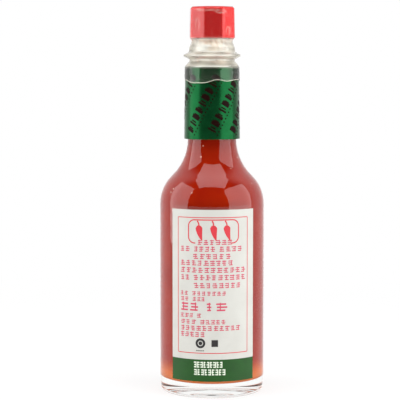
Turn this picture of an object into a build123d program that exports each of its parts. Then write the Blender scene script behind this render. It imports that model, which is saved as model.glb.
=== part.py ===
from build123d import *
from math import atan2, degrees, hypot, tan
import os

# A small glass bottle of hot pepper sauce, with its octagonal screw cap, the green sleeve on
# its neck, the clear shrink film that seals the cap, and the paper label on its front.
# Millimetres. The bottle stands on Z = 0 with its axis on Z, and the label faces -Y.

# ---- Driving dimensions -------------------------------------------------------------------

# Glass: body and base
body_radius = 18.6
body_height = 73.0  # standing surface to where the body line meets the shoulder cone
wall = 2.4
base_thickness = 4.5  # glass under the edge of the sauce
floor_dome = 1.3  # rise of the inside floor at its middle
floor_round = 3.4  # inside corner between floor and wall
push_up = 2.2  # hollow under the base, at its middle
foot_inset = 4.0  # body line in to the inner edge of the standing ring
heel_height = 5.4  # the wall draws in below this height
heel_inset = 0.45
heel_round = 1.4
heel_blend = 12.0

# Glass: shoulder and neck
shoulder_rise = 10.0  # height of the cone between body line and neck line
shoulder_round = 14.0
flare_round = 18.0
neck_radius = 8.65
neck_length = 33.5  # top of the shoulder cone to the top of the collar
collar_step = 0.6  # collar proud of the neck
collar_height = 3.2
collar_lead = 1.6  # height of the collar's sloped lower side
waist_depth = 1.3  # groove between collar and bead, in from the collar
waist_slope = 1.4

# Glass: bead and mouth
bead_spacing = 3.5  # top of the collar to the middle of the bead
bead_reach = 2.05
bead_half = 1.25  # half the bead's height at its root
bead_tip = 0.35  # half the height of its rim
ring_height = 3.0  # middle of the bead to the top of the plain ring over it
finish_step = 1.45  # plain ring in to the part that goes up into the cap
finish_slope = 2.7
finish_height = 9.6
finish_wall = 2.0
lip_round = 0.7
small_round = 0.45

# Sauce
neck_fill = 18.0  # sauce level above the top of the shoulder cone

# Cap
cap_sides = 8
cap_turn = 4.0  # degrees that the front facet is turned, anticlockwise from above
cap_clearance = 0.2
cap_wall = 0.8  # at the middle of a facet, at the top
cap_draft = 0.2  # each facet leans in by this, from bottom to top
cap_roof = 1.7
cap_gap = 0.5  # bottom of the cap above the sloped glass
cap_chamfer = 0.55
cap_edge_round = 0.25

# Neck sleeve
sleeve_clearance = 0.05
sleeve_wall = 0.25
sleeve_flare = 0.45  # the lower end stands this much wider than the top
sleeve_drop = 0.6  # top of the sleeve below the top of the collar
sleeve_length = 25.4

# Seal film
film_clearance = 0.1
film_thickness = 0.12
film_tuck = 0.75  # film drawn in under the cap, out from the glass there
film_overlap = 5.9  # reach of the film down over the sleeve

# Label
label_width = 31.9  # measured round the glass
label_thickness = 0.12
label_turn = 1.4  # degrees, anticlockwise from above
label_foot_margin = 0.75  # above the heel
label_shoulder_margin = 0.7  # below the start of the shoulder

# ---- Sizes that follow from them ----------------------------------------------------------

flare_z = body_height + shoulder_rise
collar_z = flare_z + neck_length
bead_z = collar_z + bead_spacing
ring_z = bead_z + ring_height
finish_z = ring_z + finish_slope
rim_z = finish_z + finish_height

collar_radius = neck_radius + collar_step
waist_radius = collar_radius - waist_depth
bead_radius = waist_radius + bead_reach
finish_radius = waist_radius - finish_step

inner_radius = body_radius - wall
bore_radius = neck_radius - wall
mouth_radius = finish_radius - finish_wall

# The shoulder cone leans out from the axis by this angle. Its two rounds share its length,
# so they ease down together where it is too short for both.
slope = atan2(body_radius - neck_radius, shoulder_rise)
slope_length = hypot(body_radius - neck_radius, shoulder_rise)
rounds_need = (shoulder_round + flare_round) * tan(slope / 2)
ease = min(1.0, 0.98 * slope_length / rounds_need)
shoulder_radius = shoulder_round * ease
flare_radius = flare_round * ease
shoulder_start_z = body_height - shoulder_radius * tan(slope / 2)
mitre = wall * tan(slope / 2)  # drop of a corner of the hollow below the outer corner

fill_z = flare_z + neck_fill
sleeve_top_z = collar_z - sleeve_drop
sleeve_bottom_z = sleeve_top_z - sleeve_length
sleeve_top_radius = collar_radius + sleeve_clearance + sleeve_wall
cap_bottom_z = finish_z + cap_gap
cap_top_z = rim_z + cap_roof
cap_bore_radius = finish_radius + cap_clearance
cap_bottom_half = cap_bore_radius + cap_wall + cap_draft  # axis to the middle of a facet
cap_lean = degrees(atan2(cap_draft, cap_top_z - cap_bottom_z))
cap_angle = 180 / cap_sides + cap_turn
film_bottom_z = sleeve_top_z - film_overlap
film_bottom_radius = sleeve_top_radius + sleeve_flare * film_overlap / sleeve_length

# ---- Bottle -------------------------------------------------------------------------------

# The hollow of the bottle, from its domed floor to its mouth. The glass is cut by it and the
# sauce fills it, so the two always meet.
with BuildSketch(Plane.XZ) as cavity_section:
    with BuildLine():
        TangentArc((0, base_thickness + floor_dome), (inner_radius, base_thickness), tangent=(1, 0))
        FilletPolyline(
            (inner_radius, base_thickness),
            (inner_radius, body_height - mitre),
            (bore_radius, flare_z - mitre),
            (bore_radius, bead_z),
            (mouth_radius, finish_z),
            (mouth_radius, rim_z),
            (0, rim_z),
            radius=[shoulder_radius - wall, flare_radius + wall, 2.0, 2.0, 0],
        )
        Line((0, rim_z), (0, base_thickness + floor_dome))
    make_face()
    floor_corner = cavity_section.vertices().sort_by_distance((inner_radius, base_thickness))[0]
    fillet(floor_corner, floor_round)

with BuildPart() as bottle_glass:
    with BuildSketch(Plane.XZ):
        with BuildLine():
            TangentArc((0, push_up), (body_radius - foot_inset, 0), tangent=(1, 0))
            FilletPolyline(
                (body_radius - foot_inset, 0),
                (body_radius - heel_inset, 0),
                (body_radius, heel_height),
                (body_radius, body_height),
                (neck_radius, flare_z),
                (neck_radius, collar_z - collar_height - collar_lead),
                (collar_radius, collar_z - collar_height),
                (collar_radius, collar_z),
                (waist_radius, collar_z + waist_slope),
                (waist_radius, bead_z - bead_half),
                (bead_radius, bead_z - bead_tip),
                (bead_radius, bead_z + bead_tip),
                (waist_radius, bead_z + bead_half),
                (waist_radius, ring_z),
                (finish_radius, finish_z),
                (finish_radius, rim_z),
                (0, rim_z),
                radius=[heel_round, heel_blend, shoulder_radius, flare_radius]
                + [small_round] * 5
                + [bead_tip * 0.9] * 2
                + [small_round] * 3
                + [0],
            )
            Line((0, rim_z), (0, push_up))
        make_face()
    revolve(axis=Axis.Z)
    revolve(cavity_section.sketch, axis=Axis.Z, mode=Mode.SUBTRACT)
    fillet(bottle_glass.edges().group_by(Axis.Z)[-1], min(lip_round, 0.4 * finish_wall))
bottle_glass.part.label = "bottle_glass"

with BuildPart() as sauce:
    revolve(cavity_section.sketch, axis=Axis.Z)
    split(bisect_by=Plane.XY.offset(fill_z), keep=Keep.BOTTOM)
sauce.part.label = "sauce"

# ---- Cap, sleeve and seal -----------------------------------------------------------------

# Screw cap, seated on the rim of the mouth. Its bore clears the glass that goes up into it.
with BuildPart() as cap:
    with BuildSketch(Plane.XY.offset(cap_bottom_z)):
        RegularPolygon(cap_bottom_half, cap_sides, major_radius=False, rotation=cap_angle)
    extrude(amount=cap_top_z - cap_bottom_z, taper=cap_lean)
    chamfer(cap.faces().sort_by(Axis.Z)[-1].edges(), cap_chamfer)
    facet_edges = cap.edges().group_by(Axis.Z)[1]
    fillet(facet_edges, cap_edge_round)
    with BuildSketch(Plane.XY.offset(cap_bottom_z)):
        Circle(cap_bore_radius)
    extrude(amount=rim_z - cap_bottom_z, mode=Mode.SUBTRACT)
cap.part.label = "cap"

# Thin printed sleeve, shrunk on the collar at its top and standing free of the neck below.
with BuildPart() as neck_sleeve:
    with BuildSketch(Plane.XZ):
        with BuildLine():
            Polyline(
                (sleeve_top_radius - sleeve_wall, sleeve_top_z),
                (sleeve_top_radius, sleeve_top_z),
                (sleeve_top_radius + sleeve_flare, sleeve_bottom_z),
                (sleeve_top_radius + sleeve_flare - sleeve_wall, sleeve_bottom_z),
                close=True,
            )
        make_face()
    revolve(axis=Axis.Z)
neck_sleeve.part.label = "neck_sleeve"


def film_envelope(offset):
    """Everything inside the film: the cap, and the round skirt below it that follows the
    mouth, the bead and the top of the sleeve, all grown outwards by offset."""
    with BuildPart() as envelope:
        with BuildSketch(Plane.XY.offset(cap_bottom_z - offset)):
            RegularPolygon(cap_bottom_half + offset, cap_sides, major_radius=False, rotation=cap_angle)
        extrude(amount=cap_top_z - cap_bottom_z + 2 * offset, taper=cap_lean)
        chamfer(envelope.faces().sort_by(Axis.Z)[-1].edges(), cap_chamfer)
        with BuildSketch(Plane.XZ):
            with BuildLine():
                Polyline(
                    (0, film_bottom_z),
                    (film_bottom_radius + offset, film_bottom_z),
                    (sleeve_top_radius + offset, sleeve_top_z),
                    (collar_radius + offset, collar_z),
                    (waist_radius + offset, collar_z + waist_slope + offset),
                    (waist_radius + offset, bead_z - bead_half - offset),
                    (bead_radius + offset, bead_z - bead_tip),
                    (bead_radius + offset, bead_z + bead_tip),
                    (waist_radius + offset, bead_z + bead_half + offset),
                    (waist_radius + offset, ring_z),
                    (finish_radius + film_tuck + offset, cap_bottom_z - offset),
                    (0, cap_bottom_z - offset),
                    close=True,
                )
            make_face()
        revolve(axis=Axis.Z)
    return envelope.part


# Clear shrink film, one closed skin from over the cap down onto the sleeve, open below.
film_outside = film_envelope(film_clearance + film_thickness)
film_inside = film_envelope(film_clearance)
with BuildPart() as seal_film:
    add(film_outside)
    add(film_inside, mode=Mode.SUBTRACT)
seal_film.part.label = "seal_film"

# ---- Label --------------------------------------------------------------------------------

# Paper label, glued flat on the straight part of the body, between heel and shoulder.
label_bottom_z = heel_height + label_foot_margin
label_top_z = shoulder_start_z - label_shoulder_margin
label_span = degrees(label_width / body_radius)
label_start = -90 + label_turn - label_span / 2
with BuildPart() as label:
    with BuildSketch(Plane.XY.offset(label_bottom_z)):
        with BuildLine():
            back = CenterArc((0, 0), body_radius, label_start, label_span)
            face = CenterArc((0, 0), body_radius + label_thickness, label_start, label_span)
            Line(back @ 0, face @ 0)
            Line(back @ 1, face @ 1)
        make_face()
    extrude(amount=label_top_z - label_bottom_z)
label.part.label = "label"

# ---- Files --------------------------------------------------------------------------------

os.makedirs("parts", exist_ok=True)
for piece in (bottle_glass, sauce, cap, neck_sleeve, seal_film, label):
    export_step(piece.part, f"parts/{piece.part.label}.step")

print(f"sauce {sauce.part.volume / 1000:.1f} ml up to Z = {fill_z:.1f} mm")
print(f"glass {bottle_glass.part.volume / 1000:.1f} cm3, height over the cap {cap_top_z:.1f} mm")
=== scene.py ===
from math import atan2, cos, pi, radians, sin, tan

import bmesh
import bpy
import numpy as np
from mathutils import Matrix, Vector


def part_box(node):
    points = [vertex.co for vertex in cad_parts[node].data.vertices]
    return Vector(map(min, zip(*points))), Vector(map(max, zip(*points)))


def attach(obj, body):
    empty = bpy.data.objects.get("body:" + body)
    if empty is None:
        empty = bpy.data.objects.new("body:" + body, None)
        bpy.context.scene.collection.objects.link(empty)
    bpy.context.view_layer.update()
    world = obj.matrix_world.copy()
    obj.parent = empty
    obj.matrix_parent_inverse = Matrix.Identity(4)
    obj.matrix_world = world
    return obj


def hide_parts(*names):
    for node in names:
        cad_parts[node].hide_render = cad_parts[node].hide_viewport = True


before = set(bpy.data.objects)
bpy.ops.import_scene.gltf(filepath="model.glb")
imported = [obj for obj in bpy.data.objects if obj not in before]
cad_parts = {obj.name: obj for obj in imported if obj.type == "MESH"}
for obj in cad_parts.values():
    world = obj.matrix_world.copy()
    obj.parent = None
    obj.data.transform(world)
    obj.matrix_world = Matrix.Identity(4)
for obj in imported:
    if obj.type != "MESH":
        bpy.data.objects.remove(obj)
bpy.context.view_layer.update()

# ---- Bottle glass -------------------------------------------------------------------------
# Clear soda-lime container glass, blown in a two-part mould. The outside is fire-polished and
# very slightly wavy, the wall is thick at the heel, and the ring it stands on is knurled so
# that the hot glass doesn't chill on the conveyor.

MM = 0.001  # sizes below are in millimetres, and meshes are made in metres

glass_box = [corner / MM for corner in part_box("bottle_glass")]
sauce_box = [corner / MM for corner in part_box("sauce")]

body_radius = glass_box[1].x
rim_z = glass_box[1].z
wall = body_radius - sauce_box[1].x
neck_radius = 8.65
collar_radius = 9.25
waist_radius = 7.95
bead_radius = 10.0
finish_radius = 6.5
mouth_radius = 4.5
bore_radius = neck_radius - wall
inner_radius = body_radius - wall
body_height = 73.0
flare_z = 83.0
collar_z = 116.5
bead_z = 120.0
ring_z = 123.0
finish_z = 125.7
base_thickness = 4.5
floor_dome = 1.3
push_up = 2.2
foot_radius = 14.6
heel_radius = 18.15
heel_height = 5.4
shoulder_round = 14.0
flare_round = 18.0
slope = atan2(body_radius - neck_radius, flare_z - body_height)
mitre = wall * tan(slope / 2)


def rounded(corners, rounds, longest=1.2):
    """An outline through the corners. Each inner corner is turned by an arc of its own radius,
    which starts and ends at radius x tan(half the turn) from the corner, and no run between
    two points is longer than `longest`."""
    corners = [np.array(c, float) for c in corners]
    points = [corners[0]]
    for before, corner, after, radius in zip(corners, corners[1:], corners[2:], rounds):
        back, on = before - corner, after - corner
        back, on = back / np.linalg.norm(back), on / np.linalg.norm(on)
        turn = pi - np.arccos(np.clip(back @ on, -1, 1))
        reach = radius * tan(turn / 2)
        start, end = corner + back * reach, corner + on * reach
        middle = corner + (back + on) / np.linalg.norm(back + on) * radius / cos(turn / 2)
        share = np.linspace(0, 1, max(3, int(turn / radians(7)) + 2))[:, None]
        arc = start * np.sin((1 - share) * turn) + end * np.sin(share * turn)
        arc = middle + ((start - middle) * np.sin((1 - share) * turn)
                        + (end - middle) * np.sin(share * turn)) / sin(turn)
        points.extend(arc)
    points.append(corners[-1])
    return finer(np.array(points), longest)


def finer(points, longest):
    """The same outline with extra points, evenly spaced along each run that is too long."""
    out = [points[:1]]
    for a, b in zip(points, points[1:]):
        count = max(1, int(np.ceil(np.linalg.norm(b - a) / longest)))
        share = np.linspace(0, 1, count + 1)[1:, None]
        out.append(a + (b - a) * share)
    return np.concatenate(out)


def dome(rise, radius, base, count):
    """A shallow dome's outline from the axis out: height falls with the square of the radius."""
    r = np.linspace(0, radius, count)
    return np.stack([r, base + rise * (1 - (r / radius) ** 2)], 1)


def spun(outline, count):
    """Turns an outline of (radius, height) about Z: x = r sin a, y = -r cos a, so that angle 0
    faces the front. Returns a grid of rows along the outline and columns round the axis."""
    angle = np.linspace(0, 2 * pi, count, endpoint=False)
    r, z = outline[:, 0, None], outline[:, 1, None]
    return np.stack([r * np.sin(angle), -r * np.cos(angle), z + 0 * angle], 2)


def piece_from(name, grids, materials, closed=True, smooth_angle=50, slots=None,
               values=None):
    """Makes one mesh object from grids of points in millimetres. Each grid's quads join its
    neighbouring rows and columns, and its last column to its first if it is closed round.
    Points that meet are merged, so seams and poles are shut. `values` holds one number for
    each point, kept on the mesh under a name that a material can read."""
    vertices, faces, indices, first = [], [], [], 0
    for number, grid in enumerate(grids):
        rows, columns = grid.shape[:2]
        index = np.arange(rows * columns).reshape(rows, columns) + first
        if closed:
            index = np.concatenate([index, index[:, :1]], 1)
        quads = np.stack([index[:-1, :-1], index[:-1, 1:], index[1:, 1:], index[1:, :-1]], 2)
        vertices.append(grid.reshape(-1, 3))
        faces.append(quads.reshape(-1, 4))
        indices.append(np.full(len(faces[-1]), slots[number] if slots else 0))
        first += rows * columns
    mesh = bpy.data.meshes.new(name)
    mesh.from_pydata(np.concatenate(vertices) * MM, [], np.concatenate(faces).tolist())
    mesh.polygons.foreach_set("material_index", np.concatenate(indices).astype(np.int32))
    for key, numbers in (values or {}).items():
        made = mesh.attributes.new(key, "FLOAT", "POINT")
        made.data.foreach_set("value", np.asarray(numbers, np.float32).ravel())
    for material in materials:
        mesh.materials.append(material)
    work = bmesh.new()
    work.from_mesh(mesh)
    bmesh.ops.remove_doubles(work, verts=work.verts, dist=1e-7)
    bmesh.ops.dissolve_degenerate(work, edges=work.edges, dist=1e-7)
    bmesh.ops.recalc_face_normals(work, faces=work.faces)
    work.to_mesh(mesh)
    work.free()
    mesh.shade_smooth()
    mesh.set_sharp_from_angle(angle=radians(smooth_angle))
    made = bpy.data.objects.new(name, mesh)
    bpy.context.scene.collection.objects.link(made)
    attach(made, "root")
    return made


def linear(code):
    """An sRGB hex colour as linear red, green, blue and alpha 1."""
    share = np.array([int(code[i:i + 2], 16) / 255 for i in (1, 3, 5)])
    value = np.where(share <= 0.04045, share / 12.92, ((share + 0.055) / 1.055) ** 2.4)
    return (*value.tolist(), 1.0)


def add(tree, kind, inputs=None, **settings):
    """Adds a shader node, sets its settings, and fills its inputs by name or number: a node or
    a socket is linked, and anything else is set as the value."""
    made = tree.nodes.new("ShaderNode" + kind)
    for name, value in settings.items():
        setattr(made, name, value)
    for name, value in (inputs or {}).items():
        if isinstance(value, bpy.types.Node):
            tree.links.new(value.outputs[0], made.inputs[name])
        elif isinstance(value, bpy.types.NodeSocket):
            tree.links.new(value, made.inputs[name])
        else:
            made.inputs[name].default_value = value
    return made


def new_material(name):
    """An empty material with its node tree."""
    made = bpy.data.materials.new(name)
    made.use_nodes = True
    made.node_tree.nodes.clear()
    return made, made.node_tree


# Soda-lime glass, fire-polished: clear with a trace of green, and mirror-smooth. Lamps reach
# what it holds through a plain transparent stand-in, so that the sauce isn't left in the dark.
glass_material, tree = new_material("soda_lime_glass")
path = add(tree, "LightPath")
lets_lamps = add(tree, "Math", {0: path.outputs["Is Shadow Ray"], 1: path.outputs["Is Diffuse Ray"]},
                 operation="MAXIMUM")
clear = add(tree, "BsdfPrincipled", {
    "Base Color": linear("#FBFDFC"), "Roughness": 0.0, "IOR": 1.52, "Transmission Weight": 1.0})
stand_in = add(tree, "BsdfTransparent", {"Color": linear("#F7F9F8")})
add(tree, "OutputMaterial", {"Surface": add(tree, "MixShader", {0: lets_lamps, 1: clear, 2: stand_in})})

underside = dome(push_up, foot_radius, 0, 14)
outside = rounded(
    [(foot_radius, 0), (heel_radius, 0), (body_radius, heel_height), (body_radius, body_height),
     (neck_radius, flare_z), (neck_radius, collar_z - 4.8), (collar_radius, collar_z - 3.2),
     (collar_radius, collar_z), (waist_radius, collar_z + 1.4), (waist_radius, bead_z - 1.25),
     (bead_radius, bead_z - 0.35), (bead_radius, bead_z + 0.35), (waist_radius, bead_z + 1.25),
     (waist_radius, ring_z), (finish_radius, finish_z), (finish_radius, rim_z),
     (mouth_radius, rim_z), (mouth_radius, finish_z)],
    [1.4, 12, shoulder_round, flare_round, .45, .45, .45, .45, .45, .31, .31, .45, .45, .45, .7, .7])
inside = rounded(
    [(mouth_radius, finish_z), (bore_radius, bead_z), (bore_radius, flare_z - mitre),
     (inner_radius, body_height - mitre), (inner_radius, base_thickness), (0, base_thickness + 1.0)],
    [2.0, flare_round + wall, shoulder_round - wall, 3.4])
columns = 224
knurls = 32
knurl_radius = 15.8
knurl_lift = 0.32
shell = spun(np.concatenate([underside[:-1], outside[:-1], inside]), columns)
angle = np.arctan2(shell[..., 0], -shell[..., 1])
reach = np.hypot(shell[..., 0], shell[..., 1])
height = shell[..., 2]
on_ring = np.exp(-((reach - knurl_radius) / 0.8) ** 2) * (height < 1.0)
dash = np.clip(np.cos(knurls * angle + 0.8 * np.sin(5 * angle)) * 3 - 0.6, 0, 1)
shell[..., 2] += knurl_lift * on_ring * dash
ripple = (np.sin(3 * angle + height / 9) + np.sin(5 * angle - height / 14)) / 2
on_body = np.clip((height - 8) / 10, 0, 1) * (reach > inner_radius + 1)
shrink = 1 - on_body * (0.02 + 0.015 * ripple) / np.maximum(reach, 1)
shell[..., 0] *= shrink
shell[..., 1] *= shrink
bottle = piece_from("bottle", [shell], [glass_material])
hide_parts("bottle_glass")

# ---- Sauce --------------------------------------------------------------------------------
# Red pepper sauce, a thin pulp of aged peppers in vinegar. It wets the glass everywhere below
# its level, so its surface lies just inside the wall, with fine pulp and a paler orange foot
# that is painted light, standing in for light that comes up through the base.

sauce_bite = 0.08  # the sauce reaches this far into the wall, so no air shows between them
fill_z = sauce_box[1].z

sauce_material, tree = new_material("pepper_sauce")
place = add(tree, "TexCoord").outputs["Object"]
pulp = add(tree, "TexNoise", {"Vector": place, "Scale": 1 / (1.1 * MM), "Detail": 4.0, "Roughness": 0.6})
cloud = add(tree, "TexNoise", {"Vector": place, "Scale": 1 / (9 * MM), "Detail": 2.0})
drift = add(tree, "Math", {0: pulp.outputs[0], 1: 0.35, 2: cloud.outputs[0]}, operation="MULTIPLY_ADD")
tone = add(tree, "MapRange", {"Value": drift, "From Min": 0.4, "From Max": 0.95})
red = add(tree, "Mix", {"Factor": tone.outputs[0], "A": linear("#891305"), "B": linear("#9A2205")},
          data_type="RGBA")
level = add(tree, "SeparateXYZ", {0: place}).outputs["Z"]
# Painted light: the colour turns orange towards the foot, in place of light coming up through the base.
painted_foot_light = add(tree, "MapRange", {"Value": level, "From Min": 13 * MM, "From Max": 5 * MM},
          interpolation_type="SMOOTHSTEP")
colour = add(tree, "Mix", {"Factor": painted_foot_light.outputs[0], "A": red.outputs["Result"], "B": linear("#D9702C")},
             data_type="RGBA")
body = add(tree, "BsdfPrincipled", {
    "Base Color": colour.outputs["Result"], "Roughness": 0.6, "IOR": 1.36, "Specular IOR Level": 0.0})
add(tree, "OutputMaterial", {"Surface": body})

cavity = rounded(
    [(0, base_thickness + floor_dome), (inner_radius, base_thickness), (inner_radius, body_height - mitre),
     (bore_radius, flare_z - mitre), (bore_radius, fill_z - 0.4), (bore_radius - 0.5, fill_z),
     (0, fill_z)],
    [3.4, shoulder_round - wall, flare_round + wall, 0.2, 0.4], longest=1.5)
step = np.gradient(cavity, axis=0)
outward = np.stack([step[:, 1], -step[:, 0]], 1) / np.linalg.norm(step, axis=1)[:, None]
cavity += outward * sauce_bite
cavity[[0, -1], 0] = 0
sauce = piece_from("sauce_fill", [spun(cavity, 144)], [sauce_material])
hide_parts("sauce")

# Sauce left on the bore above the level: thin orange smears below the mouth and behind the
# sleeve's top edge. Tiny air bubbles sit against the glass lower down.
smear_material, tree = new_material("drying_sauce_smear")
place = add(tree, "TexCoord").outputs["Object"]
streak = add(tree, "TexNoise", {"Vector": place, "Scale": 1 / (1.6 * MM), "Detail": 4.0})
cover = add(tree, "MapRange", {"Value": streak.outputs[0], "From Min": 0.38, "From Max": 0.62,
                               "To Min": 0.1, "To Max": 0.85})
skin = add(tree, "BsdfDiffuse", {"Color": linear("#EE8A3C")})
gone = add(tree, "BsdfTransparent", {"Color": linear("#FFF6E6")})
add(tree, "OutputMaterial", {"Surface": add(tree, "MixShader", {0: cover, 1: gone, 2: skin})})


def bore_at(z):
    """The bore's radius at a height: even up to the bead, then narrowing to the mouth."""
    return np.interp(z, [bead_z, finish_z], [bore_radius, mouth_radius])


smears = []
around = np.linspace(0, 2 * pi, 32, endpoint=False)
for at, up, wide, tall in ((0.1, 124.3, 3.4, 1.5), (-0.9, 124.9, 2.0, 0.8), (1.5, 124.0, 2.4, 1.2),
                           (-0.8, 117.8, 0.8, 1.4), (0.35, 117.3, 3.2, 1.1), (2.9, 124.0, 3.6, 1.6),
                           (-2.3, 117.4, 2.2, 1.2), (2.0, 118.2, 1.2, 0.9)):
    edge_wave = 1 + 0.18 * np.sin(3 * around + up) + 0.1 * np.sin(7 * around + at * 5)
    share = np.linspace(0, 1, 7)[:, None] * edge_wave
    z = up + tall * share * np.sin(around)
    r = bore_at(z) - 0.06
    turn = at + wide * share * np.cos(around) / r
    smears.append(np.stack([r * np.sin(turn), -r * np.cos(turn), z], 2))
smear = piece_from("sauce_smears", smears, [smear_material])

bubble_material, tree = new_material("air_bubble_in_sauce")
place = add(tree, "TexCoord").outputs["Object"]
glint = add(tree, "TexNoise", {"Vector": place, "Scale": 1 / (0.4 * MM)})
colour = add(tree, "Mix", {"Factor": glint.outputs[0], "A": linear("#F2B79C"), "B": linear("#FBE3D6")},
             data_type="RGBA")
body = add(tree, "BsdfPrincipled", {"Base Color": colour.outputs["Result"], "Roughness": 0.2})
add(tree, "OutputMaterial", {"Surface": body})
wet_wall = cavity[(cavity[:, 1] > 12) & (cavity[:, 0] > 5)]
bubbles = []
for at, up, size in ((-0.45, 88.1, .22), (-0.5, 84.0, .26), (-1.0, 72.5, .28), (-1.05, 71.4, .24),
                     (-0.45, 71.8, .2), (1.45, 83.2, .26), (0.7, 79.6, .18), (1.15, 74.0, .22),
                     (2.4, 86.0, .24), (-2.2, 77.0, .26), (3.0, 70.0, .2), (-2.7, 60.0, .22)):
    r = np.interp(up, wet_wall[:, 1], wet_wall[:, 0])
    ball = spun(np.stack([size * np.sin(np.linspace(0, pi, 9)), size * np.cos(np.linspace(0, pi, 9))], 1), 12)
    bubbles.append(ball + np.array([r * sin(at), -r * cos(at), up]))
bubble = piece_from("sauce_bubbles", bubbles, [bubble_material])

# ---- Cap ----------------------------------------------------------------------------------
# Injection-moulded polypropylene screw cap with eight flat sides, in a full glossy red. The
# mould leaves the faces very slightly uneven, which softens what they mirror.

cap_material, tree = new_material("moulded_polypropylene_red")
place = add(tree, "TexCoord").outputs["Object"]
sink = add(tree, "TexNoise", {"Vector": place, "Scale": 1 / (3.5 * MM), "Detail": 2.0})
grain = add(tree, "TexNoise", {"Vector": place, "Scale": 1 / (0.25 * MM), "Detail": 2.0})
tint = add(tree, "MapRange", {"Value": sink.outputs[0], "From Min": 0.3, "From Max": 0.7})
colour = add(tree, "Mix", {"Factor": tint.outputs[0], "A": linear("#EA0404"), "B": linear("#EA0404")},
             data_type="RGBA")
rough = add(tree, "MapRange", {"Value": grain.outputs[0], "To Min": 0.2, "To Max": 0.34})
uneven = add(tree, "Bump", {"Height": sink.outputs[0], "Strength": 0.25, "Distance": 0.15 * MM})
body = add(tree, "BsdfPrincipled", {
    "Base Color": colour.outputs["Result"], "Roughness": rough.outputs[0], "IOR": 1.49, "Normal": uneven})
add(tree, "OutputMaterial", {"Surface": body})
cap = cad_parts["cap"]
cap.data.materials.clear()
cap.data.materials.append(cap_material)

# ---- Neck sleeve --------------------------------------------------------------------------
# Green metallised foil sleeve round the neck, held by the glass collar at its top and standing
# a little free at its lower end. Printed in dark red-brown with slanting rows of plain marks.

sleeve_material, tree = new_material("green_metallised_foil")
place = add(tree, "TexCoord").outputs["Object"]
crumple = add(tree, "TexNoise", {"Vector": place, "Scale": 1 / (4 * MM), "Detail": 3.0})
fine = add(tree, "TexNoise", {"Vector": place, "Scale": 1 / (0.3 * MM), "Detail": 2.0})
tint = add(tree, "MapRange", {"Value": crumple.outputs[0], "From Min": 0.3, "From Max": 0.7})
colour = add(tree, "Mix", {"Factor": tint.outputs[0], "A": linear("#094822"), "B": linear("#0E522A")},
             data_type="RGBA")
rough = add(tree, "MapRange", {"Value": fine.outputs[0], "To Min": 0.2, "To Max": 0.3})
uneven = add(tree, "Bump", {"Height": crumple.outputs[0], "Strength": 0.3, "Distance": 0.12 * MM})
body = add(tree, "BsdfPrincipled", {
    "Base Color": colour.outputs["Result"], "Metallic": 0.92, "Roughness": rough.outputs[0],
    "Normal": uneven})
add(tree, "OutputMaterial", {"Surface": body})

sleeve_box = [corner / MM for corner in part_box("neck_sleeve")]
sleeve_top_z, sleeve_bottom_z = sleeve_box[1].z, sleeve_box[0].z
sleeve_bottom_radius = sleeve_box[1].x
sleeve_top_radius = 9.55
sleeve_wall = 0.25


def sleeve_radius(z):
    """The sleeve's outer radius at a height: a straight cone from its top to its lower end."""
    share = (sleeve_top_z - z) / (sleeve_top_z - sleeve_bottom_z)
    return sleeve_top_radius + (sleeve_bottom_radius - sleeve_top_radius) * share


edge = 0.08  # the cut edges of the foil are rounded by this much
outline = rounded(
    [(sleeve_top_radius - sleeve_wall, (sleeve_top_z + sleeve_bottom_z) / 2),
     (sleeve_top_radius - sleeve_wall, sleeve_top_z), (sleeve_top_radius, sleeve_top_z),
     (sleeve_bottom_radius, sleeve_bottom_z), (sleeve_bottom_radius - sleeve_wall, sleeve_bottom_z),
     (sleeve_top_radius - sleeve_wall, (sleeve_top_z + sleeve_bottom_z) / 2)],
    [edge] * 4, longest=0.8)
tube = spun(outline, 160)
angle = np.arctan2(tube[..., 0], -tube[..., 1])
low_end = np.clip((sleeve_top_z - 4 - tube[..., 2]) / 20, 0, 1)
sway = (np.sin(2 * angle + 0.6) + 0.6 * np.sin(3 * angle + tube[..., 2] / 7)) / 1.6
tube[..., :2] *= (1 - low_end * (0.06 + 0.05 * sway) / sleeve_bottom_radius)[..., None]
sleeve = piece_from("foil_sleeve", [tube], [sleeve_material])
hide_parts("neck_sleeve")


def ribbon(line, half_width):
    """A flat strip on the unrolled surface: each point of the line moves half a width to both
    sides, square to the line. Returns a grid of (across, height) in millimetres."""
    along = np.gradient(line, axis=0)
    side = np.stack([-along[:, 1], along[:, 0]], 1) / np.linalg.norm(along, axis=1)[:, None]
    reach = side * np.broadcast_to(half_width, len(line))[:, None]
    return np.stack([line + reach * share for share in (1, 0.5, 0, -0.5, -1)], 1)


def bar(x0, x1, z0, z1):
    """A rectangle on the unrolled surface, cut so finely that it follows the curve."""
    x = np.linspace(x0, x1, max(2, int(abs(x1 - x0) / 0.7) + 2))
    return np.stack([np.stack([x, x * 0 + z0], 1), np.stack([x, x * 0 + z1], 1)], 1)


def wrapped(strip, radius, lift=0.03):
    """Lays a strip on a round surface: the distance across becomes an angle about the axis."""
    across, z = strip[..., 0], strip[..., 1]
    r = radius(z) if callable(radius) else radius + 0 * z
    return np.stack([(r + lift) * np.sin(across / r), -(r + lift) * np.cos(across / r), z], 2)


def ink(name, dark, light, grain=0.3, **finish):
    """A printing ink between two tones, worn unevenly at the scale of its grain in mm."""
    made, tree = new_material(name)
    place = add(tree, "TexCoord").outputs["Object"]
    wear = add(tree, "TexNoise", {"Vector": place, "Scale": 1 / (grain * MM), "Detail": 2.0})
    colour = add(tree, "Mix", {"Factor": wear.outputs[0], "A": linear(dark), "B": linear(light)},
                 data_type="RGBA")
    body = add(tree, "BsdfPrincipled", {"Base Color": colour.outputs["Result"], **finish})
    add(tree, "OutputMaterial", {"Surface": body})
    return made


# Dark red-brown foil ink, almost black against the green and without much gloss of its own.
ink_brown = ink("brown_red_foil_ink", "#140504", "#200A07", grain=0.5,
                **{"Roughness": 0.35, "Specular IOR Level": 0.04})

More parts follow.
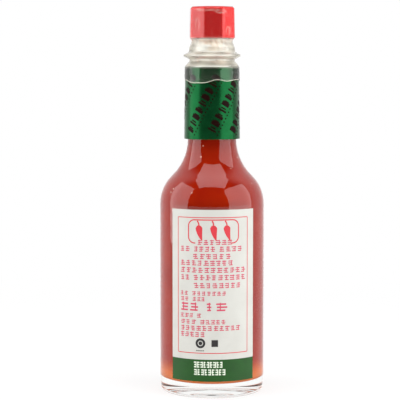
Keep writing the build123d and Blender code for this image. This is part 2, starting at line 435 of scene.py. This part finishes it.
row_count = 7  # slanting rows round the sleeve
row_slope = radians(61)
mark_height = 3.1
mark_pitch = 2.6
turn = 2 * pi * sleeve_top_radius / row_count
marks = []
for row in range(row_count):
    start = turn * (row - 1) - 0.6
    for number in range(9):
        reach = 1.2 + number * mark_pitch
        centre = np.array([start + reach * cos(row_slope), sleeve_bottom_z + 2.3 + reach * sin(row_slope)])
        if centre[1] > sleeve_top_z - 2.0:
            continue
        up = np.array([-sin(row_slope), cos(row_slope)])
        along = np.array([cos(row_slope), sin(row_slope)])
        width = (0.55, 0.32, 0.75)[(number + row) % 3]
        share = np.linspace(-0.5, 0.5, 5)[:, None]
        marks.append(ribbon(centre + up * mark_height * share, width))
        marks.append(ribbon(centre + along * 0.9 + up * mark_height * share * 0.62, 0.24))
        for dot in range(2):
            middle = centre - up * 2.5 + along * (dot * 1.3 - 0.6)
            marks.append(ribbon(middle + along * 0.45 * share, 0.22))
sleeve_print = piece_from("sleeve_print", [wrapped(m, sleeve_radius) for m in marks], [ink_brown],
                          closed=False)

# ---- Label --------------------------------------------------------------------------------
# Semi-gloss coated paper, glued round the front of the body. White with a green field at its
# foot, a thin red frame, three pepper pods in a rounded frame, and rows of short red dashes.

label_half = 31.9 / 2
label_turn = radians(1.4)
label_box = [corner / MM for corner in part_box("label")]
label_bottom_z, label_top_z = label_box[0].z, label_box[1].z
label_thickness = 0.1
band_top_z = 13.96


def coated_paper(name, dark, light, patch, rough, gloss):
    """Coated paper between two tones: fine fibre over soft patches of the given size in mm."""
    made, tree = new_material(name)
    place = add(tree, "TexCoord").outputs["Object"]
    fibre = add(tree, "TexNoise", {"Vector": place, "Scale": 1 / (0.35 * MM), "Detail": 3.0})
    mottle = add(tree, "TexNoise", {"Vector": place, "Scale": 1 / (patch * MM), "Detail": 2.0})
    mixed = add(tree, "Math", {0: fibre.outputs[0], 1: 0.4, 2: mottle.outputs[0]},
                operation="MULTIPLY_ADD")
    tint = add(tree, "MapRange", {"Value": mixed, "From Min": 0.4, "From Max": 1.0})
    colour = add(tree, "Mix", {"Factor": tint.outputs[0], "A": linear(dark), "B": linear(light)},
                 data_type="RGBA")
    uneven = add(tree, "Bump", {"Height": fibre.outputs[0], "Strength": 0.15, "Distance": 0.03 * MM})
    body = add(tree, "BsdfPrincipled", {
        "Base Color": colour.outputs["Result"], "Roughness": rough, "Specular IOR Level": gloss,
        "Normal": uneven})
    add(tree, "OutputMaterial", {"Surface": body})
    return made


# White coated paper, and the same paper under a solid field of green that is a little glossier.
paper_white = coated_paper("coated_paper_white", "#C0BFB9", "#C8C8C2", 6, rough=0.5, gloss=0.35)
paper_green = coated_paper("coated_paper_green_ink", "#0C4507", "#105009", 4, rough=0.45, gloss=0.4)


def label_loop(z0, z1):
    """The label's cross-section carried from one height to another: out along its face from
    left to right, and back along its glued side. Rows go up, columns go round the section."""
    angle = np.linspace(-label_half, label_half, 61) / body_radius + label_turn
    face, back = body_radius + label_thickness, body_radius
    radius = np.concatenate([np.full(61, face), np.full(61, back)])
    angle = np.concatenate([angle, angle[::-1]])
    z = np.linspace(z0, z1, max(2, int((z1 - z0) / 2)))[:, None]
    return np.stack([radius * np.sin(angle) + 0 * z, -radius * np.cos(angle) + 0 * z, z + 0 * radius], 2)


def label_end(z):
    """The cut edge of the paper at one height: a strip from the glued side to the face."""
    loop = label_loop(z, z + 1)[0]
    return np.stack([loop[:61], loop[:60:-1]], 0)


sheet_white = label_loop(band_top_z, label_top_z)
sheet_green = label_loop(label_bottom_z, band_top_z)
close = [np.concatenate([g, g[:, :1]], 1) for g in (sheet_white, sheet_green)]
label = piece_from("paper_label", [*close, label_end(label_top_z), label_end(label_bottom_z)],
                   [paper_white, paper_green], closed=False, slots=[0, 1, 0, 1])
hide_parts("label")

# Offset inks, matt to satin: bright red, crimson and black, and the pale ink of the date code.
ink_red = ink("red_offset_ink", "#C4222F", "#D23540", Roughness=0.5)
ink_crimson = ink("crimson_offset_ink", "#BC2A4A", "#CC4A62", Roughness=0.5)
ink_black = ink("black_offset_ink", "#1A1718", "#2A2627", Roughness=0.5)
ink_pale = ink("pale_inkjet_ink", "#D2DEC8", "#E6EEDD", Roughness=0.5)


def on_label(strip):
    """Lays a strip on the label's face, with across counted from the label's middle."""
    shifted = strip + np.array([label_turn * body_radius, 0])
    return wrapped(shifted, body_radius + label_thickness, lift=0.015)


def frame_line(x0, x1, z0, z1, round_off, half_width):
    """A closed rectangle with rounded corners, drawn with a line of even width."""
    corners = [((x0 + x1) / 2, z0), (x1, z0), (x1, z1), (x0, z1), (x0, z0), ((x0 + x1) / 2, z0)]
    return ribbon(rounded(corners, [round_off] * 4, longest=0.7), half_width)


def pod(x, z, lean, length, width):
    """A pepper pod: a spine that curves like a parabola, with a width that swells near the
    stalk and runs out to a point, and a short stalk that bends the other way."""
    share = np.linspace(0, 1, 22)
    spine = np.stack([lean * (share ** 2 - 0.3), length * (0.34 - share)], 1)
    half = width * np.sqrt(np.clip(share * 5, 0, 1)) * (1 - share ** 1.8) + 0.05
    stalk = np.stack([-0.5 * lean * share ** 2 - 0.3 * lean, length * (0.34 + 0.26 * share)], 1)
    return [ribbon(spine + (x, z), half), ribbon(stalk + (x, z), 0.24)]


red_strips = [frame_line(-13.2, 13.05, 16.2, 63.8, 0.3, 0.14)]
lower_open = rounded([(-6.3, 54.9), (-8.9, 54.9), (-8.9, 63.0), (9.2, 63.0), (9.2, 54.9), (6.6, 54.9)],
                     [2.2] * 4, longest=0.7)
red_strips.append(ribbon(lower_open, 0.2))
for x, lean in ((-4.7, 1.2), (0.4, 1.0), (5.2, 1.3)):
    red_strips += pod(x, 59.3, lean, 5.6, 1.25)
label_red = piece_from("label_print_red", [on_label(s) for s in red_strips], [ink_red], closed=False)

# Rows of small dashes stand where small print would be. Each row is (top, height, its runs of
# left and right ends), in millimetres up from the table and across from the label's middle.
draw = np.random.default_rng(7)
rows = [
    (56.2, 1.9, [(-5.6, 7.2)]),
    (53.9, 2.0, [(-12.1, -8.2), (-7.0, 1.0), (2.0, 11.0)]),
    (51.3, 2.0, [(-7.2, 6.6)]),
    (49.0, 2.0, [(-12.1, 7.4)]),
    (46.5, 2.0, [(-12.1, 12.4)]),
    (43.9, 2.0, [(-12.1, -8.2), (-7.0, 12.3)]),
    (41.1, 2.0, [(-7.0, 10.6)]),
    (38.1, 1.6, [(-12.1, -9.0), (-7.6, 4.8)]),
    (36.1, 1.6, [(-12.1, -8.6), (-7.4, -2.6)]),
    (34.2, 3.2, [(-12.1, -4.7), (-2.5, 0.1), (0.8, 5.8)]),
    (30.3, 1.6, [(-12.1, -6.8), (-6.0, -4.0)]),
    (28.1, 1.7, [(-12.1, -5.8), (-4.6, 4.7)]),
    (26.0, 1.9, [(-12.1, 10.2)]),
    (23.8, 1.9, [(-12.1, -2.8)]),
]
dashes = []
for top, tall, runs in rows:
    for left, right in runs:
        cells = max(1, round((right - left) / (tall * 1.08)))
        pitch = (right - left) / cells
        for cell in range(cells):
            x = left + cell * pitch
            for layer in range(3):
                inset, tail = draw.uniform(0.0, 0.28, 2) * pitch
                z = top - tall * (0.12 + 0.34 * layer)
                dashes.append(bar(x + inset * 0.7, x + pitch * 0.88 - tail, z - tall * 0.17, z))
            post = x + pitch * draw.uniform(0.25, 0.6)
            dashes.append(bar(post, post + tall * 0.12, top - tall * 0.95, top - tall * 0.05))
label_crimson = piece_from("label_print_crimson", [on_label(s) for s in dashes], [ink_crimson],
                           closed=False)

circle = np.linspace(0, 2 * pi, 33)
ring = np.stack([np.sin(circle), np.cos(circle)], 1)
black_strips = [ribbon(ring * 1.35 + (-4.5, 19.7), 0.4), ribbon(ring * 0.35 + (-4.5, 19.7), 0.34)]
black_strips.append(bar(-0.6, 1.7, 18.5, 20.9))
black_strips += [bar(-6.0 + 0.75 * n, -5.5 + 0.75 * n, 16.95, 17.25) for n in range(4)]
label_black = piece_from("label_print_black", [on_label(s) for s in black_strips], [ink_black],
                         closed=False)

pale = []
for top, left, right in ((13.2, -6.9, 3.4), (10.55, -6.9, 4.5)):
    pitch = (right - left) / 9
    for cell in range(9):
        x = left + cell * pitch
        for layer in range(3):
            inset, tail = draw.uniform(0.0, 0.2, 2) * pitch
            z = top - 2.15 * (0.02 + 0.38 * layer)
            pale.append(bar(x + inset, x + pitch * 0.82 - tail, z - 0.4, z))
        post = x + pitch * (0.12 if cell % 2 else 0.6)
        pale.append(bar(post, post + 0.3, top - 2.15, top))
label_pale = piece_from("label_print_pale", [on_label(s) for s in pale], [ink_pale], closed=False)

# ---- Seal film ----------------------------------------------------------------------------
# Clear PVC shrink film over the cap, the bead and the top of the sleeve. Heat drew it tight,
# so it follows the eight sides, tucks in below the cap, and its lower end is a wavy milky rim.

film_box = [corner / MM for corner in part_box("seal_film")]
cap_box = [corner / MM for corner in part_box("cap")]
film_off = film_box[1].x - bead_radius
cap_low, cap_high = cap_box[0].z, cap_box[1].z
cap_half_low, cap_half_high = 7.7, 7.5
cap_turn = radians(4)
film_bottom_z = film_box[0].z

film_material, tree = new_material("pvc_shrink_film")
place = add(tree, "TexCoord").outputs["Object"]
# The attribute read here holds the film's milky haze, with painted highlights on the dents' rims and painted
# light between cap and sleeve mixed in.
milk = add(tree, "Attribute", {}, attribute_name="milk")
speck = add(tree, "TexNoise", {"Vector": place, "Scale": 1 / (1.2 * MM), "Detail": 3.0})
veil = add(tree, "MapRange", {"Value": speck.outputs[0], "To Min": 0.0, "To Max": 0.012})
haze_and_painted_light = add(tree, "Math", {0: veil.outputs[0], 1: milk.outputs["Fac"]}, operation="ADD", use_clamp=True)
crease = add(tree, "Bump", {"Height": speck.outputs[0], "Strength": 0.18, "Distance": 0.1 * MM})
through = add(tree, "BsdfTransparent", {"Color": linear("#FCFCFC")})
cloudy_and_painted_light = add(tree, "BsdfDiffuse", {"Color": linear("#FFF8E6")})
base = add(tree, "MixShader", {0: haze_and_painted_light, 1: through, 2: cloudy_and_painted_light})
shine = add(tree, "BsdfAnisotropic", {"Color": linear("#FFFFFF"), "Roughness": 0.12, "Normal": crease})
facing = add(tree, "Fresnel", {"IOR": 1.42, "Normal": crease})
add(tree, "OutputMaterial", {"Surface": add(tree, "MixShader", {0: facing, 1: base, 2: shine})})

columns = 288
angle = np.linspace(0, 2 * pi, columns, endpoint=False)
sides = cap_turn + np.arange(8) * pi / 4
# A rounded octagon: the reach is one over the eighth-side cosines summed at a high power.
lobes = np.clip(np.cos(angle[:, None] - sides[None, :]), 0, 1) ** 48
octagon = lobes.sum(1) ** (-1 / 48)


def film_rows():
    """Rows of (radius on a facet, height, share of octagon) from the top's middle down."""
    top = [(r, cap_high + film_off, 1.0) for r in np.linspace(0, cap_half_high - 0.55 + film_off, 10)]
    bevel = [(cap_half_high + film_off, cap_high - 0.4, 1.0)]
    sides_down = [(cap_half_high + (cap_half_low - cap_half_high) * t + film_off,
                   cap_high - 0.4 + (cap_low - cap_high + 0.4) * t, 1.0) for t in np.linspace(0, 1, 26)[1:]]
    tuck = [(cap_half_low + 0.02, cap_low - 0.18, 0.9), (7.75, cap_low - 0.35, 0.55),
            (7.45, cap_low - 0.7, 0.2), (7.42, cap_low - 1.2, 0.0)]
    skirt = rounded(
        [(7.42, cap_low - 1.3), (waist_radius + film_off, ring_z - 0.2),
         (waist_radius + film_off + 0.1, bead_z + 1.3),
         (bead_radius + film_off - 0.02, bead_z + 0.3), (bead_radius + film_off - 0.02, bead_z - 0.3),
         (waist_radius + film_off, bead_z - 1.4), (waist_radius + film_off, collar_z + 1.6),
         (collar_radius + film_off, collar_z), (sleeve_top_radius + film_off, sleeve_top_z),
         (sleeve_radius(film_bottom_z) + 0.2, film_bottom_z)],
        [1.0, 0.8, 0.3, 0.3, 0.5, 0.4, 0.4, 0.4], longest=0.35)
    return np.array(top + bevel + sides_down + tuck + [(r, z, 0.0) for r, z in skirt])


outline = film_rows()
r, z, share = outline[:, 0, None], outline[:, 1, None], outline[:, 2, None]
radius = r * (share * octagon + (1 - share))
height = z + 0 * angle
# The lower rim waves up and down, and takes the last rows of film with it.
rim_wave = 0.55 * np.sin(2 * angle - 0.4) + 0.4 * np.sin(5 * angle + 1.0) + 0.2 * np.sin(9 * angle)
near_rim = np.clip((sleeve_top_z - 0.5 - height) / (sleeve_top_z - 0.5 - film_bottom_z), 0, 1)
height = height + near_rim * (0.95 + rim_wave * 0.85)
# Pleats where the film is drawn in under the cap and over the bead.
drawn = np.exp(-((height - (cap_low - 1.6)) / 1.3) ** 2)
drawn = drawn + 0.5 * np.exp(-((height - collar_z - 1.6) / 1.0) ** 2)
pleat = np.sin(17 * angle + 2 * np.sin(3 * angle) + height) * (0.6 + 0.4 * np.sin(4 * angle))
radius = radius - drawn * (0.14 + 0.14 * pleat)
# Shallow dents on the cap's faces, each with a faint broken rim that is a painted highlight,
# whitened into the film's haze. Each is given by its angle, height, half width in radians and
# half height.
dents = [(-0.72, 130.8, 0.10, 2.4), (0.40, 135.4, 0.22, 0.5), (0.80, 128.6, 0.13, 1.3),
         (-0.30, 136.0, 0.5, 0.28), (2.4, 131, 0.14, 2.2), (-2.2, 129, 0.12, 1.8)]
milk = np.zeros_like(radius)
for at, up, wide, tall in dents:
    away = np.abs((angle - at + pi) % (2 * pi) - pi) / wide
    off = np.hypot(away, (height - up) / tall)
    # Painted highlight: a whitened line along each dent's rim.
    painted_rim_highlight = np.exp(-((off - 1) / 0.22) ** 2) * (height < cap_high + 0.1)
    radius = radius - 0.10 * np.exp(-off ** 2) * (height < cap_high)
    milk += 0.22 * painted_rim_highlight * np.clip(np.sin(2 * angle + at * 7 + height / 1.7), 0, 1)
milk += 0.75 * np.exp(-(near_rim - 1) ** 2 / 0.0006) + 0.12 * drawn * np.clip(pleat, 0, 1)
milk += 0.02 * near_rim
# Painted light: between the cap and the sleeve the loose film is given a milky haze, which
# stands in for the bright surround seen through the neck.
open_neck = np.clip((height - sleeve_top_z + 0.6) / 1.2, 0, 1) * np.clip((cap_low + 0.2 - height) / 0.8, 0, 1)
milk += open_neck * (0.38 + 0.1 * np.sin(5 * angle + 1.3 * height) * np.sin(3 * angle - 2 * height))
film_points = np.stack([radius * np.sin(angle), -radius * np.cos(angle), height], 2)
film = piece_from("shrink_film", [film_points], [film_material], values={"milk": milk})
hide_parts("seal_film")

# ---- Studio -------------------------------------------------------------------------------
# A plain pale floor and a white surround, two tall softboxes at the sides and one overhead.
# The side the camera is on is left dark, as in a studio, so that gloss has something to mirror.

floor_mesh = bpy.data.meshes.new("studio_floor")
floor_mesh.from_pydata([(-6, -6, 0), (6, -6, 0), (6, 6, 0), (-6, 6, 0)], [], [(0, 1, 2, 3)])
floor = bpy.data.objects.new("studio_floor", floor_mesh)
bpy.context.scene.collection.objects.link(floor)
floor_material, tree = new_material("pale_studio_floor")
path = add(tree, "LightPath")
seen = add(tree, "Math", {0: path.outputs["Is Camera Ray"], 1: path.outputs["Is Glossy Ray"]},
           operation="MAXIMUM")
seen = add(tree, "Math", {0: seen, 1: path.outputs["Is Transmission Ray"]}, operation="MAXIMUM")
place = add(tree, "TexCoord").outputs["Object"]
far = add(tree, "VectorMath", {0: place}, operation="LENGTH")
fade = add(tree, "MapRange", {"Value": far.outputs["Value"], "From Min": 0.05, "From Max": 0.3,
                              "To Min": 0.72, "To Max": 1.0}, interpolation_type="SMOOTHSTEP")
share = add(tree, "Math", {0: seen, 1: fade.outputs[0]}, operation="MULTIPLY")
matt = add(tree, "BsdfDiffuse", {"Color": linear("#F4F4F4")})
white = add(tree, "Emission", {"Color": linear("#FFFFFF"), "Strength": 1.0})
add(tree, "OutputMaterial", {"Surface": add(tree, "MixShader", {0: share, 1: matt, 2: white})})
floor_mesh.materials.append(floor_material)

world = bpy.data.worlds.new("studio_surround")
bpy.context.scene.world = world
world.use_nodes = True
tree = world.node_tree
tree.nodes.clear()
path = add(tree, "LightPath")
way = add(tree, "TexCoord").outputs["Generated"]
ahead = add(tree, "SeparateXYZ", {0: way}).outputs["Y"]
behind = add(tree, "MapRange", {"Value": ahead, "From Min": -0.25, "From Max": 0.35, "To Min": 0.02,
                                "To Max": 1.0}, interpolation_type="SMOOTHSTEP")
seen = add(tree, "Math", {0: path.outputs["Is Camera Ray"], 1: path.outputs["Is Transmission Ray"]},
           operation="MAXIMUM")
ambient = 0.6
mirror_level = add(tree, "Mix", {"Factor": path.outputs["Is Glossy Ray"], "A": ambient,
                                 "B": behind.outputs[0]}, data_type="FLOAT")
strength = add(tree, "Mix", {"Factor": seen, "A": mirror_level.outputs[0], "B": 1.0}, data_type="FLOAT")
surround = add(tree, "Background", {"Color": (1, 1, 1, 1), "Strength": strength.outputs[0]})
add(tree, "OutputWorld", {"Surface": surround})


def softbox(name, place, aim, width, height, level):
    """A rectangular lamp that faces a point. Its watts give each square metre an even level
    of radiance: power = level x area x pi."""
    lamp = bpy.data.lights.new(name, "AREA")
    lamp.shape, lamp.size, lamp.size_y = "RECTANGLE", width, height
    lamp.energy = level * width * height * pi
    made = bpy.data.objects.new(name, lamp)
    made.location = place
    made.rotation_mode = "QUATERNION"
    made.rotation_quaternion = (Vector(aim) - Vector(place)).to_track_quat("-Z", "Y")
    made.visible_camera = False
    bpy.context.scene.collection.objects.link(made)


middle = (0, 0, 0.07)
softbox("softbox_left", (-0.42, -0.08, 0.16), middle, 0.42, 0.62, 2.3)
softbox("softbox_right", (0.39, -0.17, 0.16), middle, 0.5, 0.62, 2.3)
softbox("softbox_top", (0, -0.15, 0.52), middle, 0.46, 0.3, 2.6)

# ---- Camera -------------------------------------------------------------------------------
# A long lens just over half a metre away, a little below the top of the bottle, looking down
# by under five degrees and turned slightly so that the bottle stands right of the middle.

camera_data = bpy.data.cameras.new("camera")
camera_data.sensor_width = 36
camera_data.lens = 138.78
camera = bpy.data.objects.new("camera", camera_data)
camera.location = (0, -0.551, 0.1146)
camera.rotation_mode = "QUATERNION"
aside, down = -tan(radians(0.446)), -tan(radians(4.79))
camera.rotation_quaternion = Vector((aside, 1, down)).to_track_quat("-Z", "Y")
bpy.context.scene.collection.objects.link(camera)
bpy.context.scene.camera = camera
bpy.context.scene.view_settings.view_transform = "Standard"
